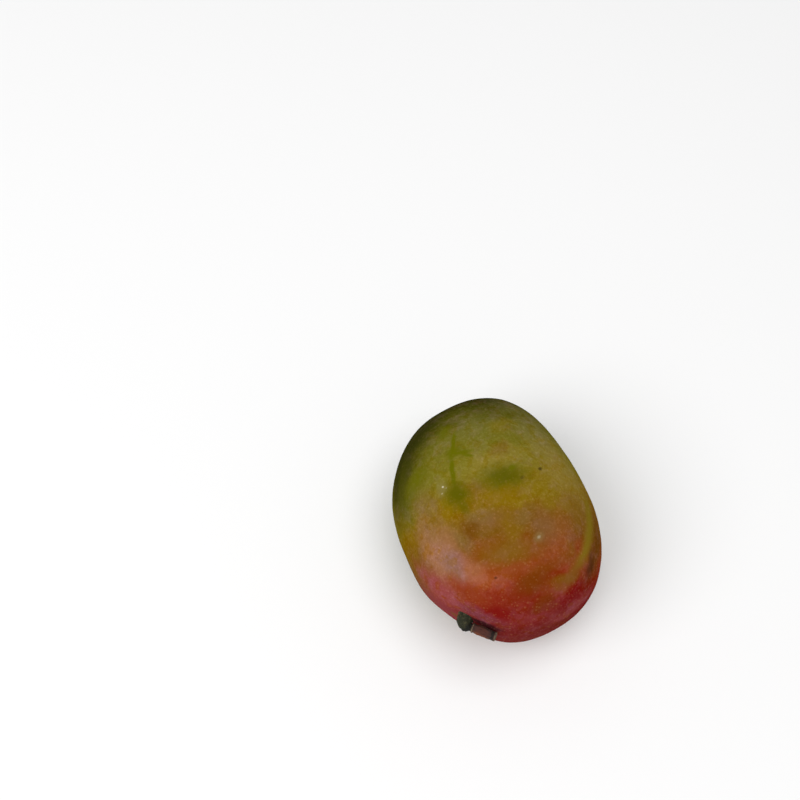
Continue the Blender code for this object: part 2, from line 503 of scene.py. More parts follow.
@dataclass(frozen=True)
class Fruit:
    """The mango's body: a full oval with soft swells, lying on a small flat spot."""

    half_width: float = 45.5 * MM
    half_length: float = 59.8 * MM
    half_thickness: float = 42.0 * MM
    oval_power: float = 2.15
    flat_spot_depth: float = 0.6 * MM
    seat_bearing: float = 229.2  # degrees, where the stem stands
    seat_elevation: float = 7.0
    slope_step: float = 0.5  # degrees to each side, over which the skin's slope is measured
    survey_step: float = 0.5  # degrees between the points that the skin's box is found from
    halvings: int = 24  # rounds of the search for the skin over a point of the plan
    subdivisions: int = 7
    lump_height: float = 0.35 * MM
    lump_size: float = 22.0 * MM
    ripple_height: float = 0.07 * MM
    ripple_size: float = 6.0 * MM
    swells: tuple[Swell, ...] = (
        Swell("stem basin", 230, 0, -2.5 * MM, 20),
        Swell("back shoulder", 202, 0, 1.8 * MM, 22),
        Swell("belly shoulder", 315, 0, -0.2 * MM, 28),
        Swell("crown", 62, 0, 4.8 * MM, 26),
        Swell("belly", 12, 0, -1.7 * MM, 26),
        Swell("base", 275, 0, -2.4 * MM, 22),
        Swell("back", 155, 0, 1.7 * MM, 24),
        Swell("beak", 58, -20, 1.3 * MM, 7),
    )

    def halves(self) -> Place:
        """Half the oval's sides, along X, Y and Z."""
        return (self.half_width, self.half_length, self.half_thickness)

    def skin_radius(self, units: np.ndarray) -> np.ndarray:
        """How far the skin is from the fruit's centre along each unit vector, in metres."""
        shares = np.abs(units / np.array(self.halves()))
        radius = (shares**self.oval_power).sum(axis=-1) ** (-1 / self.oval_power)
        for swell in self.swells:
            cosine = units @ direction(swell.bearing, swell.elevation)
            narrowness = 1 - math.cos(math.radians(swell.spread))
            radius = radius + swell.height * np.exp((cosine - 1) / narrowness)
        return radius

    def skin_point(self, bearing: float, elevation: float) -> Vector:
        """The point of the skin in a direction from the fruit's centre."""
        unit = direction(bearing, elevation)
        return Vector(unit * self.skin_radius(unit))

    def skin_frame(self, bearing: float, elevation: float) -> Matrix:
        """A frame on the skin, from the fruit's centre.

        Args:
            bearing: degrees from +X, towards +Y.
            elevation: degrees above the level of the centre.

        Returns:
            The frame: X runs level along the skin, Y runs up it and Z points out of it.
        """
        point, step = self.skin_point, self.slope_step
        east = point(bearing + step, elevation) - point(bearing - step, elevation)
        north = point(bearing, elevation + step) - point(bearing, elevation - step)
        out = east.cross(north).normalized()
        level = Vector((0, 0, 1)).cross(out).normalized()
        frame = Matrix((level, out.cross(level), out)).transposed().to_4x4()
        frame.translation = point(bearing, elevation)
        return frame

    def seat_frame(self) -> Matrix:
        """The frame of the stem's seat: X runs level along the skin, Y up it and Z out of it."""
        seat = self.skin_frame(self.seat_bearing, self.seat_elevation)
        return Matrix.Translation(self.centre()) @ seat

    def centre(self) -> Vector:
        """The centre that the skin is measured from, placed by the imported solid's box."""
        low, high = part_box("fruit")
        step = self.survey_step
        grid = np.meshgrid(np.arange(0, 360, step), np.arange(-90, 90 + step, step))
        turns, lifts = np.radians(grid)
        flat = np.cos(lifts)
        units = np.stack([flat * np.cos(turns), flat * np.sin(turns), np.sin(lifts)], -1)
        points = units * self.skin_radius(units)[..., None]
        middle = (points.min(axis=(0, 1)) + points.max(axis=(0, 1))) / 2
        x, y = (low.x + high.x) / 2 - middle[0], (low.y + high.y) / 2 - middle[1]
        return Vector((x, y, low.z + self.half_thickness - self.flat_spot_depth))

    def patch_frame(self, x: float, y: float, heading: float, side: Side) -> Matrix:
        """A frame on the skin above or below a point of the plan, from the fruit's centre.

        Args:
            x: where the point is, in metres from the centre.
            y: the same, along the fruit.
            heading: where the frame's X points, in degrees seen from above.
            side: whether it is on the top or underneath.

        Returns:
            The frame, whose Z points out of the skin.
        """
        bearing = math.degrees(math.atan2(y, x))
        low, high = 0.0, 90.0
        for _ in range(self.halvings):
            middle = (low + high) / 2
            reach = self.skin_point(bearing, middle * side.value).to_2d().length
            low, high = (middle, high) if reach > math.hypot(x, y) else (low, middle)
        frame = self.skin_frame(bearing, low * side.value)
        out = frame.col[2].to_3d()
        turn = math.radians(heading)
        across = out.cross(Vector((math.cos(turn), math.sin(turn), 0))).normalized()
        made = Matrix((across.cross(out), across, out)).transposed().to_4x4()
        made.translation = frame.translation
        return made

    def squared_halves(self) -> Place:
        """The squares of the half sides, for telling which way the skin faces."""
        return tuple((half / MM) ** 2 for half in self.halves())

    def form(self, skin: bpy.types.Material) -> FormTree:
        """The Geometry Nodes tree that makes the body from its driving sizes.

        Args:
            skin: the material that it wears.

        Returns:
            The tree.
        """
        form = FormTree("mango body")
        sizes = {
            "Half width": self.half_width,
            "Half length": self.half_length,
            "Half thickness": self.half_thickness,
            "Oval power": self.oval_power,
            "Flat spot depth": self.flat_spot_depth,
            "Lump height": self.lump_height,
            "Lump size": self.lump_size,
            "Ripple height": self.ripple_height,
            "Ripple size": self.ripple_size,
            "Subdivisions": self.subdivisions,
            "Centre": tuple(self.centre()),
            "Skin": skin,
        }
        for swell in self.swells:
            sizes[swell.name + " towards"] = tuple(direction(swell.bearing, swell.elevation))
            sizes[swell.name + " height"] = swell.height
            sizes[swell.name + " spread"] = math.radians(swell.spread)
        given = form.declare(sizes)

        ball = form.node("GeometryNodeMeshIcoSphere", sockets={"Subdivisions": given["Subdivisions"]})
        unit = form.wire("GeometryNodeInputPosition", "Position").unit()
        halves = form.vector(given["Half width"], given["Half length"], given["Half thickness"])
        share = abs(unit / halves)
        power = given["Oval power"]
        total = share.part("X") ** power + share.part("Y") ** power + share.part("Z") ** power
        radius = total ** (-1 / power)
        for swell in self.swells:
            narrowness = 1 - given[swell.name + " spread"].cosine()
            fade = (unit.dot(given[swell.name + " towards"]) - 1) / narrowness
            radius = radius + given[swell.name + " height"] * fade.exp()
        smooth_skin = unit * radius
        for relief in ("Lump", "Ripple"):
            place = smooth_skin / given[relief + " size"]
            radius = radius + (form.noise(place, Grain(1.0)) - 0.5) * given[relief + " height"] * 2
        skin_place = unit * radius
        lowest = given["Flat spot depth"] - given["Half thickness"]
        level = skin_place.part("Z").at_least(lowest)
        resting = form.vector(skin_place.part("X"), skin_place.part("Y"), level)
        placed = form.wire(
            "GeometryNodeSetPosition",
            "Geometry",
            sockets={"Geometry": Wire(form, ball.outputs["Mesh"]), "Position": resting + given["Centre"]},
        )
        form.finish(placed, given["Skin"])
        return form

    def build(self, skin: bpy.types.Material) -> bpy.types.Object:
        """Makes the fruit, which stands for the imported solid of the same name."""
        fruit = self.form(skin).build("mango_fruit")
        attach(fruit, "root")
        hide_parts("fruit")
        return fruit


@dataclass(frozen=True)
class Streak:
    """A narrow pale line that bends along the skin in an arc, where a leaf lay on it."""

    tint: Tint = Tint.HONEY
    end_tint: Tint = Tint.COPPER  # what it turns to towards the stem's end
    x: float = -6.5  # millimetres from the fruit's centre to the arc's, seen from above
    y: float = -5.3
    radius: float = 43.8
    width: float = 1.9
    widening: float = 0.03  # more of it for each millimetre towards the stem's end
    strength: float = 0.85
    softness: float = 1.4  # how far it fades out to each side, in widths
    start_y: float = -6.0  # where it begins, and where it has faded out
    end_y: float = -53.0
    start_fade: float = 14.0
    end_fade: float = 12.0
    turn_y: float = -36.0  # where its tint begins to turn, and where it has turned
    turned_y: float = -45.0
    top: tuple[float, float] = (-2.0, 4.0)  # it lies above these heights only
    belly: tuple[float, float] = (0.0, 8.0)  # and on this side of the middle

    def colour(self, tree: MaterialTree, place: Wire) -> Wire:
        """Its colour at a place."""
        turned = place.part("Y").ease(self.turn_y, self.turned_y)
        return tree.mix(turned, self.tint.value, self.end_tint.value)

    def cover(self, place: Wire) -> Wire:
        """How much it covers the skin at a place."""
        flat = place * (1.0, 1.0, 0.0) - (self.x, self.y, 0.0)
        along = place.part("Y")
        width = (self.start_y - along) * self.widening + self.width
        off = abs(flat.length() - self.radius) / width
        fading = along.ease(self.end_y, self.end_y + self.end_fade)
        fading = fading * along.ease(self.start_y, self.start_y - self.start_fade)
        on_top = place.part("Z").ease(*self.top) * place.part("X").ease(*self.belly)
        return off.ease(self.softness, 0.0) * fading * on_top * self.strength


@dataclass(frozen=True)
class Dots:
    """The pale breathing pores of the skin, one to each cell of a random lattice."""

    cell: float  # millimetres between the points of the lattice
    reach: float  # how far from the skin a point may be and still show
    radius: float
    strength: float
    least_size: float = 0.55  # the smallest dot, as a share of the radius
    size_range: float = 0.6  # how much larger the largest one is
    edge: tuple[float, float] = (1.35, 0.5)  # where a dot fades out and where it is full
    full_reach: float = 0.6  # the share of the reach within which a dot is at its strongest

    def cover(self, tree: MaterialTree, place: Wire, out: Wire) -> Wire:
        """How much the dots lighten the skin at a place.

        Args:
            tree: the material's tree.
            place: the place, in millimetres from the fruit's centre.
            out: the way that the skin faces there.

        Returns:
            Their cover, from 0 to their strength.
        """
        lattice = tree.node(
            "ShaderNodeTexVoronoi",
            {"voronoi_dimensions": "3D", "feature": "F1"},
            {"Vector": place, "Scale": 1 / self.cell},
        )
        away = Wire(tree, lattice.outputs["Position"]) - place
        depth = away.dot(out)
        aside = (away - out * depth).length()
        size = Wire(tree, lattice.outputs["Color"]).part("X") * self.size_range + self.least_size
        spot = (aside / size).ease(*(self.radius * share for share in self.edge))
        return spot * abs(depth).ease(self.reach, self.reach * self.full_reach) * self.strength


@dataclass(frozen=True)
class Blotches:
    """Soft-edged blotches, which lie where a noise is high or where it is low."""

    grain: Grain  # in millimetres
    start: float  # the noise that they begin at, and where they are full
    full: float
    strength: float = 1.0
    offset: float = 0.0  # keeps layers from sharing their pattern

    def cover(self, tree: MaterialTree, place: Wire) -> Wire:
        """How much they cover the surface at a place."""
        spot = place + self.offset if self.offset else place
        return tree.noise(spot, self.grain).ease(self.start, self.full) * self.strength


@dataclass(frozen=True)
class Mottle:
    """Blotches that tint the skin under them."""

    blotches: Blotches
    tint: Colour  # what the skin's colour is multiplied by
    glow: Colour = (0.0, 0.0, 0.0)  # what is added to it


@dataclass(frozen=True)
class MangoSkin:
    """Satin mango skin: green over gold to crimson, with bloom, rubbed spots and pale pores."""

    roughness: float = 0.46
    roughness_range: float = 0.16
    specular: float = 0.0
    lean: float = 0.16  # how much the bands of colour lean across the fruit
    clouds: Grain = Grain(12, 4)  # in millimetres, as what follows without MM
    cloud_reach: float = 7.0
    edges: Grain = Grain(3.5, 3)
    edge_reach: float = 2.0
    narrow_mark: float = 4.2  # marks narrower than this keep more of their own outline
    narrow_drift: float = 0.4  # how much of the edges' drift reaches them
    least_reach: float = 6.0  # how far in and out of the skin a mark reaches, at the least
    grain: Grain = Grain(1.3, 3, 0.6)
    shade: tuple[float, float] = (-10.0, -34.0)  # where the underside's shade begins and is full
    blush_retreat: float = 15.0  # how far the blush draws back in that shade
    peel: Grain = Grain(0.9)
    peel_depth: float = 0.05 * MM
    pore_depth: float = 0.04 * MM
    pore_tint: Colour = (0.7, 0.7, 0.7)
    pore_shine: Colour = (0.160, 0.078, 0.032)
    pore_turn: tuple[float, float] = (12.0, -12.0)  # where the pores begin to stand out, and do
    green_pores: float = 0.4  # how much of them shows on the green end
    bands: tuple[tuple[float, Tint], ...] = (
        (-57, Tint.SHADE),
        (-47, Tint.LEAF),
        (-36, Tint.OLIVE),
        (-24, Tint.MOSS),
        (-10, Tint.LIME),
        (3, Tint.GOLD),
        (14, Tint.AMBER),
        (24, Tint.ORANGE),
        (35, Tint.SCARLET),
        (46, Tint.CRIMSON),
        (57, Tint.WINE),
    )
    mottles: tuple[Mottle, ...] = (
        Mottle(Blotches(Grain(7, 4, 0.6), 0.50, 0.64, 0.8), (0.92, 0.95, 1.15), (0.036, 0.016, 0.017)),
        Mottle(Blotches(Grain(5, 4, 0.6), 0.50, 0.62, 0.8, 40), (0.93, 0.86, 0.30)),
        Mottle(Blotches(Grain(2.6, 4, 0.6), 0.50, 0.66, 0.7, 80), (1, 1.05, 1.2), (0.032, 0.016, 0.012)),
        Mottle(Blotches(Grain(2.4, 4, 0.6), 0.50, 0.70, 0.5, 120), (0.78, 0.72, 0.60)),
        Mottle(Blotches(Grain(1.1, 4, 0.6), 0.48, 0.66, 0.8, 160), (1.12, 1.16, 1.3), (0.018, 0.012, 0.008)),
    )
    washes: tuple[Mark, ...] = (
        # Painted shade over the far shoulder's dark green, the bright belly side, the tan back, and a darker
        # green underneath that the painted shade fades into.
        Mark(Tint.SHADE, -29, 43, 58, 24, 42, 1.0, 0.6),
        Mark(Tint.OLIVE, -33, 24, 34, 20, 60, 0.5),
        Mark(Tint.STRAW, 31, 2, 40, 20, 98, 0.65),
        Mark(Tint.BLOOM, 28, 24, 22, 14, 80, 0.25),
        Mark(Tint.BLOOM, 28, 41, 26, 14, 120, 0.25),
        Mark(Tint.BLOOM, 0, 36, 24, 14, 0, 0.15),
        Mark(Tint.STRAW, 5, 14, 26, 10, 0, 0.4),
        Mark(Tint.HONEY, 14, 30, 13, 10, 20, 0.5),
        Mark(Tint.UMBER, 6, 18, 8, 6, 30, 0.5),
        Mark(Tint.TAN, -35, 7, 24, 13, 95, 0.6),
        Mark(Tint.OLIVE, -41, 15, 16, 8, 80, 0.6),
        Mark(Tint.LEAF, -30, 18, 66, 34, 62, 0.55, 0.9, Side.UNDER),
        Mark(Tint.LEAF, -41, 10, 44, 30, 80, 0.5, 0.9, Side.UNDER),
        # Gold and brown patches between the green and the red.
        Mark(Tint.HONEY, 12, -6, 30, 9, -8, 0.6),
        Mark(Tint.GOLD, -1, -4, 14, 8, 0, 0.85),
        Mark(Tint.UMBER, -11, 3, 11, 7, 20, 0.5),
        Mark(Tint.GOLD, -4, -17, 15, 8, 80, 0.85),
        Mark(Tint.TAN, -14, -8, 12, 9, 10, 0.7),
        Mark(Tint.TAN, 4, -16, 11, 8, 0, 0.6),
        Mark(Tint.RUST, -20, -12, 10, 6, 30, 0.65),
        Mark(Tint.UMBER, -16, -16, 9, 5, 10, 0.6),
        Mark(Tint.EMBER, -22, -22, 13, 8, 100, 0.8),
        Mark(Tint.AMBER, -12, -26, 18, 9, -10, 0.8),
        Mark(Tint.CORAL, 15, -26, 22, 12, 60, 0.3),
        Mark(Tint.TAN, 17, -34, 10, 8, 60, 0.4),
        # The salmon and pink back, and the reds over the stem.
        Mark(Tint.SALMON, -36, -16, 30, 16, 108, 0.85),
        Mark(Tint.VIOLET, -33, -20, 14, 9, 110, 0.8),
        Mark(Tint.TAN, -26, -12, 12, 6, 95, 0.6),
        Mark(Tint.PINK, -39, -28, 34, 14, 122, 0.9, 0.6),
        Mark(Tint.CORAL, -23, -31, 24, 10, 140, 0.7),
        Mark(Tint.SCARLET, -31, -33, 20, 8, 135, 0.9, 0.6),
        Mark(Tint.CORAL, -8, -34, 22, 6, 0, 0.25),
        Mark(Tint.EMBER, 2, -38, 20, 7, 8, 0.8),
        Mark(Tint.RUST, -5, -42, 13, 7, 20, 0.7),
        Mark(Tint.SCARLET, -17, -43, 20, 9, 142, 0.6),
        Mark(Tint.PINK, -9, -53, 24, 7, 172, 0.4),
        Mark(Tint.PINK, 13, -54, 22, 8, 15, 0.7),
        Mark(Tint.RUST, -2, -51, 9, 6, 0, 0.6),
        Mark(Tint.PINK, 5, -48, 9, 5, 0, 0.6),
        Mark(Tint.PINK, -38, -30, 30, 12, 112, 0.8, 0.6, Side.UNDER),
        Mark(Tint.WINE, -28, -45, 30, 16, 130, 0.8, 0.6, Side.UNDER),
        Mark(Tint.PLUM, -29, -41.8, 19, 7.5, -45, 0.95, 0.6),
        # Beyond the streak, and where it ends.
        Mark(Tint.RUST, 31, -36, 24, 10, 62, 0.85),
        Mark(Tint.AMBER, 10, -45, 13, 6, -15, 0.85),
    )
    marks: tuple[Mark, ...] = (
        # Painted shade over the far shoulder's dark green, and rubbed lines and spots that are free of
        # bloom.
        Mark(Tint.SHADE, -31, 42, 52, 26, 42, 0.8, 0.9),
        Mark(Tint.LEAF, -38, 27, 22, 10, 70, 0.45, 0.8),
        Mark(Tint.RUBBED, -33, 23, 16, 9, 20, 0.7),
        Mark(Tint.RUBBED, -10.5, 31.5, 14, 2.2, 66, 0.95, 0.5),
        Mark(Tint.RUBBED, -17.2, 17.8, 15, 2.4, 74, 0.95, 0.5),
        Mark(Tint.RUBBED, -13, 26.5, 7, 5, 30, 0.8, 0.6),
        Mark(Tint.RUBBED, -9.5, 24.4, 8.5, 2.8, -22, 0.85, 0.6),
        Mark(Tint.RUBBED, -8, 21.8, 5, 1.4, -34, 0.8, 0.5),
        Mark(Tint.RUBBED, -12, 39, 9, 5, 60, 0.6),
        Mark(Tint.SPOT, 2, 5.4, 19, 11, -15, 0.88, 0.8),
        Mark(Tint.LEAF, 4, 5, 9, 5, -20, 0.12, 0.9),
        Mark(Tint.RUBBED, 7.5, 8, 4, 2.5, 20, 0.8, 0.6),
        Mark(Tint.SPOT, -20, 6.5, 12, 10.5, 100, 0.92, 0.8),
        Mark(Tint.SPOT, -19.5, -1, 6, 4, 95, 0.45, 0.6),
        # Gold and browns at their purest.
        Mark(Tint.GOLD, -1, -3.5, 15, 7, -8, 0.55, 0.7),
        Mark(Tint.AMBER, -4.5, -17, 14, 7, 80, 0.5, 0.8),
        Mark(Tint.RUST, -20, -12.5, 9, 5, 30, 0.4, 0.7),
        Mark(Tint.AMBER, -8, -13, 18, 9, 0, 0.35, 0.9),
        Mark(Tint.EMBER, -17.5, -22, 13, 7, 15, 0.5, 0.8),
        Mark(Tint.AMBER, -8, -27, 20, 8, -10, 0.55, 0.9),
        Mark(Tint.AMBER, 27, -18, 14, 9, 90, 0.5, 0.9),
        Mark(Tint.TAUPE, -11, -10.5, 10, 6, 10, 0.25, 0.9),
        Mark(Tint.SALMON, -31, -8, 11, 8, 105, 0.35, 0.9),
        Mark(Tint.TAUPE, 10, -22, 13, 9, 80, 0.35, 0.9),
        # Reds at their purest, and the pale and purple places between them.
        Mark(Tint.EMBER, -8, -33.5, 20, 7, 8, 0.45, 0.9),
        Mark(Tint.EMBER, 1, -46, 13, 7, 15, 0.5, 0.9),
        Mark(Tint.RUSSET, -1, -40.5, 18, 8, 15, 0.75, 0.9),
        Mark(Tint.RUSSET, -9, -43, 14, 7, 20, 0.6, 0.9),
        Mark(Tint.RUSSET, -3.0, -50, 10, 5.5, 10, 0.6, 0.9),
        Mark(Tint.CRIMSON, 0, -52, 12, 6, 10, 0.4, 0.9),
        Mark(Tint.SALMON, -25.5, -27.5, 10, 7, 110, 0.4, 0.9),
        Mark(Tint.VIOLET, -33.5, -21.5, 10, 7, 110, 0.35, 0.9),
        Mark(Tint.ROSE, -41, -31, 32, 13, 124, 0.75, 0.7),
        Mark(Tint.CRIMSON, -14, -44.5, 24, 8, 160, 0.4, 0.9),
        Mark(Tint.CRIMSON, -21.3, -46.3, 11, 7, 120, 0.85, 0.8),
        # The painted shadow, with some stain, beside the stub; the scab beyond the streak, and reds over
        # their edges.
        # Painted contact shadow, with some stain, where the stub lies against the skin.
        Mark(Tint.BRUISE, -27.5, -45.7, 15, 4.6, -58, 0.9, 0.5),
        Mark(Tint.SCAB, 25.4, -42.4, 8, 5, 60, 0.7, 0.9),
        Mark(Tint.SCAB, 27, -38, 5, 3, 70, 0.4, 0.9),
        Mark(Tint.SCARLET, -29, -34.5, 16, 7, 130, 0.6, 0.8),
        Mark(Tint.CRIMSON, -10, -54, 22, 7, 170, 0.35, 0.8),
        Mark(Tint.UMBER, -36.7, -34.9, 5.0, 4.0, -45, 0.6, 0.9),
        # Small scars, and waxy specks with painted glints on them.
        Mark(Tint.CORK, 20, 3.6, 1.9, 1.3, 20, 0.75, 0.6),
        Mark(Tint.CORK, 10, 2, 2.2, 1.6, 0, 0.4, 0.6),
        Mark(Tint.SCAB, -18.5, -33.5, 1.4, 1.1, 0, 0.7, 0.7),
        Mark(Tint.BLOOM, -25, 12, 6, 4.5, 60, 0.35),
        Mark(Tint.WAX, -24, 13, 1.1, 0.8, 0, 0.75, 0.5),
        Mark(Tint.WAX, -23, 11.6, 0.7, 0.5, 0, 0.25, 0.5),
        Mark(Tint.WAX, -25.4, 10.2, 0.8, 0.5, 0, 0.35, 0.5),
        Mark(Tint.BLOOM, 5.4, -25.4, 4.5, 3.6, 20, 0.35, 0.9),
        Mark(Tint.WAX, 5.4, -25.4, 1.5, 1.3, 20, 0.3, 0.7),
    )
    streak: Streak = Streak()
    pores: tuple[Dots, ...] = (
        Dots(2.2, 0.8, 0.36, 0.40),
        Dots(4.4, 1.4, 0.52, 0.45),
    )

    def material(self, fruit: Fruit) -> bpy.types.Material:
        """Makes the material for a fruit, whose form its marks follow.

        Args:
            fruit: the fruit that wears it.

        Returns:
            The material.
        """
        tree = MaterialTree("mango_skin")
        place = (tree.place() - tuple(fruit.centre())) / MM
        clouds = tree.drift(place, self.clouds, self.cloud_reach)
        edges = tree.drift(place, self.edges, self.edge_reach)
        colour = self._ground(tree, clouds)
        for wash in self.washes:
            colour = tree.mix(self._cover(tree, clouds, fruit, wash), colour, wash.tint.value)
        for mottle in self.mottles:
            blotch = mottle.blotches.cover(tree, place)
            colour = tree.mix(blotch, colour, tree.stain(colour, mottle.tint, mottle.glow))
        near = place * (1 - self.narrow_drift) + edges * self.narrow_drift
        streak = self.streak.colour(tree, place)
        colour = tree.mix(self.streak.cover(near), colour, streak)
        for mark in self.marks:
            moved = near if mark.width < self.narrow_mark else edges
            colour = tree.mix(self._cover(tree, moved, fruit, mark), colour, mark.tint.value)
        pores = self._pore_cover(tree, place, fruit)
        colour = tree.mix(pores, colour, tree.stain(colour, self.pore_tint, self.pore_shine))
        grain = tree.noise(place, self.grain)
        peel = tree.noise(place, self.peel)
        normal = tree.bump(peel, self.peel_depth)
        normal = tree.bump(pores, self.pore_depth, normal)
        smoothest = self.roughness - self.roughness_range / 2
        tree.set(Base_Color=colour, Normal=normal, Roughness=grain * self.roughness_range + smoothest)
        tree.set(Specular_IOR_Level=self.specular)
        return tree.material

    def _ground(self, tree: MaterialTree, place: Wire) -> Wire:
        """The bands of colour from the green end to the crimson one, drawn back underneath."""
        shaded = place.part("Z").ease(*self.shade)
        along = 0 - place.part("Y") - place.part("X") * self.lean - shaded * self.blush_retreat
        start, end = self.bands[0][0], self.bands[-1][0]
        stops = [((at - start) / (end - start), tint.value) for at, tint in self.bands]
        share = (along - start) / (end - start)
        return tree.wire("ShaderNodeValToRGB", "Color", {"stops": stops}, {"Fac": share})

    def _cover(self, tree: MaterialTree, place: Wire, fruit: Fruit, mark: Mark) -> Wire:
        """How much a mark covers the skin at a place.

        Args:
            tree: the material's tree.
            place: the place, in millimetres from the fruit's centre.
            fruit: the fruit that it is on.
            mark: the mark.

        Returns:
            Its cover, from 0 to its strength.
        """
        frame = fruit.patch_frame(mark.x * MM, mark.y * MM, mark.heading, mark.side)
        away = place - tuple(frame.translation / MM)
        halves = (mark.length / 2, mark.width / 2, max(mark.length, self.least_reach) / 2)
        axes = (frame.col[column].to_3d() for column in range(3))
        shares = (away.dot(tuple(axis / half)) for axis, half in zip(axes, halves))
        fade = tree.vector(*shares).length().ease(1 + mark.softness, 1 - mark.softness)
        return fade * mark.strength

    def _pore_cover(self, tree: MaterialTree, place: Wire, fruit: Fruit) -> Wire:
        """How much the pores lighten the skin at a place."""
        out = (place / fruit.squared_halves()).unit()
        cover = reduce(Wire.at_least, [dots.cover(tree, place, out) for dots in self.pores])
        ripe = place.part("Y").ease(*self.pore_turn)
        return cover * (ripe * (1 - self.green_pores) + self.green_pores)


# The axes of the stem's seat
ALONG, UP, OUT = Vector((1, 0, 0)), Vector((0, 1, 0)), Vector((0, 0, 1))


@dataclass(frozen=True)
class Ring:
    """One round of the stem's loft."""

    centre: Vector
    across: Vector
    up: Vector
    radius: float
    along: float  # metres from the foot of the stem, measured along its line


@dataclass(frozen=True)
class Stem:
    """The stem: a lobed collar in the skin, a fat knuckle that turns it over, and the stub.

    It is worked out in the frame of its seat, whose axes are ALONG the skin, UP it and OUT of it.
    """

    sides: int = 72
    step: float = 0.22 * MM
    foot_depth: float = 1.0 * MM
    collar_radius: float = 3.9 * MM
    collar_height: float = 1.1 * MM
    collar_start: float = 0.25  # where on a half wave its swell begins
    collar_fullness: float = 0.7  # the power of the half wave, fuller below 1
    collar_fade: float = 1.6  # where its lobes and tip have faded out, in its own heights
    collar_lobes: int = 5
    lobe_share: float = 0.05
    lobe_turn: float = 0.6  # radians that the lobes are turned round
    tip_reach: float = 0.4 * MM
    tip_spread: float = 38.0  # degrees
    knuckle_lift: float = 0.5 * MM
    knuckle_radius: float = 3.45 * MM
    knuckle_inner_radius: float = 0.55 * MM
    knuckle_mean: float = 0.75  # its mean thickness, as a share of its greatest
    knuckle_taper: float = 2.2  # the power that it narrows to the groove by
    groove_radius: float = 1.75 * MM
    groove_reach: float = 0.8 * MM
    stub_radius: float = 1.95 * MM
    stub_bulge: float = 0.25 * MM
    stub_length: float = 12.0 * MM
    stub_lean: float = 8.0  # degrees that it dips towards the skin
    stub_rise: float = 5.0  # degrees that it climbs
    rim_radius: float = 2.3 * MM
    rim_place: float = 0.9 * MM
    rim_width: float = 0.4 * MM
    end_flare: float = 0.2 * MM
    flare_reach: float = 1.2 * MM
    end_rounding: float = 0.35 * MM
    rounding_reach: float = 0.4 * MM
    end_shares: tuple[float, ...] = (0.85, 0.7, 0.58)  # rings of the broken end, in its radii
    end_length: float = 0.1 * MM  # what the broken end takes of the bark's UV map
    end_relief: float = 0.4  # how much of the relief it keeps
    torn_length: float = 0.5 * MM  # how much of the stem's end has that lower relief
    pith_radius: float = 0.68 * MM
    pith_depth: float = 0.6 * MM
    pith_shares: tuple[tuple[float, float], ...] = (
        # Rings of the pith hole, as shares of its radius and its depth.
        (1.0, 0.05),
        (0.9, 0.5),
        (0.75, 1.0),
    )
    pith_length: float = 0.4 * MM  # what the end and the pith hole take of the UV map
    wart_height: float = 0.5 * MM
    wart_size: float = 1.5 * MM
    stub_warts: float = 0.4  # how much of the warts the stub has
    furrow_depth: float = 0.16 * MM
    furrow_count: float = 2.6
    furrow_length: float = 5.0 * MM
    grit_height: float = 0.12 * MM
    grit_size: float = 0.45 * MM

    def turn(self) -> float:
        """The angle that the knuckle turns the stem through, in radians."""
        return math.radians(90 + self.stub_lean)

    def heading(self) -> Vector:
        """Where the stub points, in the frame of its seat."""
        climb = math.radians(self.stub_rise)
        level = ALONG * math.sin(self.turn()) + OUT * math.cos(self.turn())
        return level * math.cos(climb) + UP * math.sin(climb)

    def collar_rings(self) -> list[Ring]:
        """The rings of the collar, from its foot in the flesh up to the knuckle."""
        height = self.foot_depth + self.collar_height
        count = round(height / self.step)
        rings = []
        for place in range(count):
            share = place / count
            wave = self.collar_start + (1 - self.collar_start) * share
            swell = math.sin(math.pi * min(1.0, wave)) ** self.collar_fullness
            radius = self.knuckle_radius + (self.collar_radius - self.knuckle_radius) * swell
            rise = share * height - self.foot_depth
            centre = OUT * min(rise, self.knuckle_lift)
            rings.append(Ring(centre, ALONG, UP, radius, share * height))
        return [ring for ring in rings if ring.centre.z < self.knuckle_lift]

    def knuckle_rings(self, start: float) -> list[Ring]:
        """The rings of the knuckle, which turn the stem over and narrow to the groove.

        Args:
            start: how far along the stem it begins, in metres.

        Returns:
            The rings.
        """
        pivot = ALONG * (self.knuckle_radius + self.knuckle_inner_radius) + OUT * self.knuckle_lift
        length = self.turn() * (self.knuckle_radius * self.knuckle_mean + self.knuckle_inner_radius)
        count = round(length / self.step)
        rings = []
        for place in range(count + 1):
            share = place / count
            narrowing = (self.groove_radius - self.knuckle_radius) * share**self.knuckle_taper
            radius = self.knuckle_radius + narrowing
            angle = share * self.turn()
            inward = ALONG * math.cos(angle) - OUT * math.sin(angle)
            centre = pivot - inward * (radius + self.knuckle_inner_radius)
            rings.append(Ring(centre, inward, UP, radius, start + share * length))
        return rings

    def stub_radius_at(self, distance: float) -> float:
        """The stub's radius at a distance from the groove, with its rim and its flared end."""
        rim = math.exp(-(((distance - self.rim_place) / self.rim_width) ** 2))
        grown = 1 - math.exp(-distance / self.groove_reach)
        body = self.groove_radius + (self.stub_radius - self.groove_radius) * grown
        body += self.stub_bulge * math.sin(math.pi * distance / self.stub_length)
        to_end = self.stub_length - distance
        flare = self.end_flare * math.exp(-to_end / self.flare_reach)
        rounding = self.end_rounding * max(0.0, 1 - to_end / self.rounding_reach) ** 2
        return body + (self.rim_radius - self.stub_radius) * rim + flare - rounding

